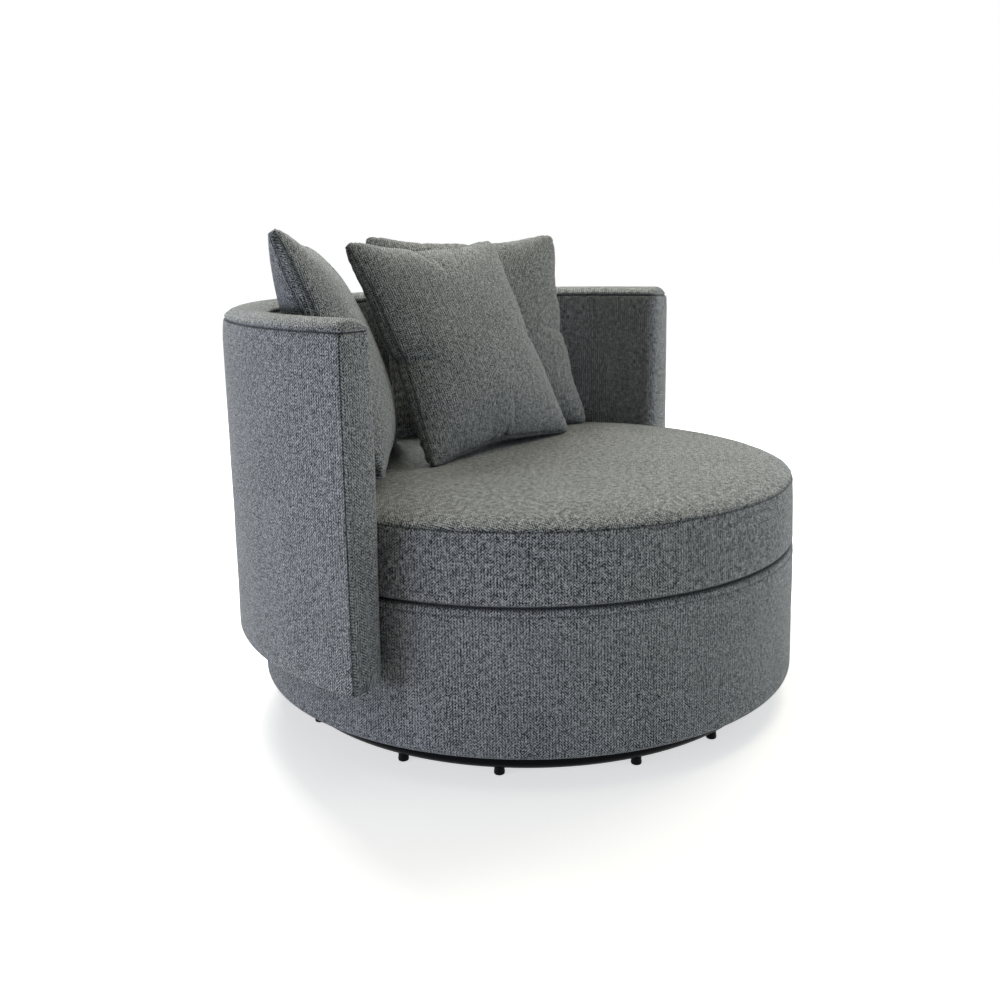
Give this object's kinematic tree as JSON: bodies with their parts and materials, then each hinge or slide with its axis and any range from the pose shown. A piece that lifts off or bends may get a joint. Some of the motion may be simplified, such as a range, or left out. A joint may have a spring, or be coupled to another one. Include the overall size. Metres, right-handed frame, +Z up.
{
  "type": "swivel cuddle chair",
  "caption": "Round upholstered swivel cuddle chair: a drum seat on a steel ring base, with a curved back shell, a loose seat cushion and loose pillows.",
  "frame": {"origin": "on the floor, at the middle of the chair's outline seen from above", "axes": "+Z up, -Y the way the seat faces, +X to the right seen from the front"},
  "size_m": [1.152, 0.994, 0.816],
  "materials": {
    "cloth": "dark grey twill weave",
    "cushion_cloth": "dark grey twill weave",
    "pillow_cloth": "dark grey twill weave",
    "lining": "black non-woven cloth",
    "foam": "upholstery foam",
    "filling": "fibre wadding",
    "webbing": "elastic webbing",
    "timber": "sawn softwood",
    "plywood": "plywood",
    "hardboard": "hardboard",
    "black_steel": "gloss black",
    "zinc_steel": "zinc plated",
    "ball_steel": "polished",
    "glide_plastic": "black plastic"
  },
  "bodies": {
    "base": {"base_ring": "black_steel", "base_cross": "black_steel", "glide_01": "glide_plastic", "glide_02": "glide_plastic", "glide_03": "glide_plastic", "glide_04": "glide_plastic", "glide_05": "glide_plastic", "glide_06": "glide_plastic", "glide_07": "glide_plastic", "glide_08": "glide_plastic", "glide_09": "glide_plastic", "glide_10": "glide_plastic", "glide_11": "glide_plastic", "glide_12": "glide_plastic", "glide_13": "glide_plastic", "glide_14": "glide_plastic", "bearing_lower_plate": "zinc_steel", "ball_race": "ball_steel", "pivot_rivet": "zinc_steel"},
    "seat": {"bearing_upper_plate": "zinc_steel", "plate_screw_1": "zinc_steel", "plate_screw_2": "zinc_steel", "plate_screw_3": "zinc_steel", "plate_screw_4": "zinc_steel", "drum_cover": "cloth", "drum_foam": "foam", "drum_panel": "hardboard", "base_board": "plywood", "dust_cover": "lining", "top_hoop": "plywood", "drum_post_1": "timber", "drum_post_2": "timber", "drum_post_3": "timber", "drum_post_4": "timber", "drum_post_5": "timber", "seat_webbing": "webbing", "deck_pad": "filling", "shell_cover": "cloth", "shell_foam": "foam", "shell_inner_panel": "hardboard", "shell_outer_panel": "hardboard", "shell_bottom_rail": "plywood", "shell_top_rail": "plywood", "shell_post_1": "timber", "shell_post_2": "timber", "shell_post_3": "timber", "shell_post_4": "timber", "shell_post_5": "timber", "shell_bolt_1": "zinc_steel", "shell_bolt_2": "zinc_steel", "shell_bolt_3": "zinc_steel"},
    "seat_cushion": {"seat_cushion_cover": "cushion_cloth", "seat_cushion_core": "foam"},
    "pillow_front": {"pillow_front_cover": "pillow_cloth", "pillow_front_filling": "filling"},
    "pillow_left": {"pillow_left_cover": "pillow_cloth", "pillow_left_filling": "filling"},
    "pillow_right": {"pillow_right_cover": "pillow_cloth", "pillow_right_filling": "filling"}
  },
  "joints": [
    {"name": "swivel", "type": "hinge", "parent": "base", "child": "seat", "pos_m": [0, -0.01705, 0.05], "axis": [0, 0, 1], "continuous": true},
    {"name": "seat_cushion_lift", "type": "slide", "parent": "seat", "child": "seat_cushion", "axis": [0, 0, 1], "range_m": [0, 0.45]},
    {"name": "pillow_front_lift", "type": "slide", "parent": "seat_cushion", "child": "pillow_front", "axis": [0, 0, 1], "range_m": [0, 0.45]},
    {"name": "pillow_left_lift", "type": "slide", "parent": "seat_cushion", "child": "pillow_left", "axis": [-0.217, 0.3054, 0.9272], "range_m": [0, 0.45]},
    {"name": "pillow_right_lift", "type": "slide", "parent": "seat_cushion", "child": "pillow_right", "axis": [0.217, 0.3054, 0.9272], "range_m": [0, 0.45]}
  ]
}
